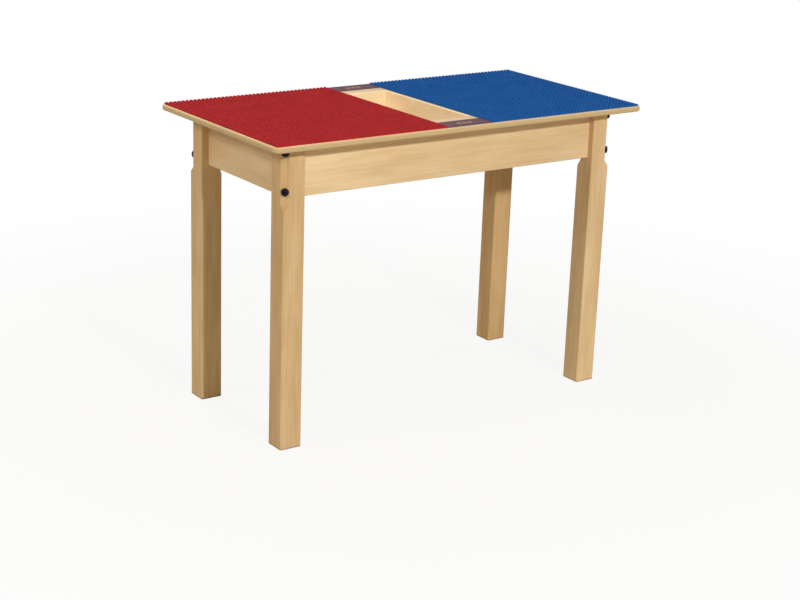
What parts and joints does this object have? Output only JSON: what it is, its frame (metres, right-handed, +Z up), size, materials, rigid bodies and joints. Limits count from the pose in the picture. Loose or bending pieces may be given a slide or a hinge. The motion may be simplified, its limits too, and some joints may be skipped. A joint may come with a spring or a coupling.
{
  "type": "play table",
  "caption": "Low wooden play table with a red and a blue studded building plate, an open storage trough between them and bolted square legs.",
  "frame": {"origin": "on the floor, under the middle of the table", "axes": "+X along the table's length towards the blue plate, +Y from the front to the back, +Z up"},
  "size_m": [0.778, 0.394, 0.5383],
  "materials": {
    "birch_plywood": "clear satin lacquer",
    "maple": "clear satin lacquer",
    "block_wood": "sawn and sanded",
    "red_plastic": "moulded",
    "blue_plastic": "moulded",
    "strip_laminate": "matte laminate",
    "black_steel": "black oxide",
    "zinc_steel": "bright zinc"
  },
  "bodies": {
    "root": {"table_top": "birch_plywood", "red_baseplate": "red_plastic", "blue_baseplate": "blue_plastic", "front_trim_strip": "strip_laminate", "back_trim_strip": "strip_laminate", "front_apron": "maple", "back_apron": "maple", "left_apron": "maple", "right_apron": "maple", "leg_bolts": "black_steel", "leg_washers": "zinc_steel", "leg_nuts": "zinc_steel", "trough_left_wall": "birch_plywood", "trough_right_wall": "birch_plywood", "trough_bottom": "birch_plywood", "front_left_leg": "maple", "front_left_corner_block": "block_wood", "front_right_leg": "maple", "front_right_corner_block": "block_wood", "back_right_leg": "maple", "back_right_corner_block": "block_wood", "back_left_leg": "maple", "back_left_corner_block": "block_wood"}
  },
  "joints": []
}
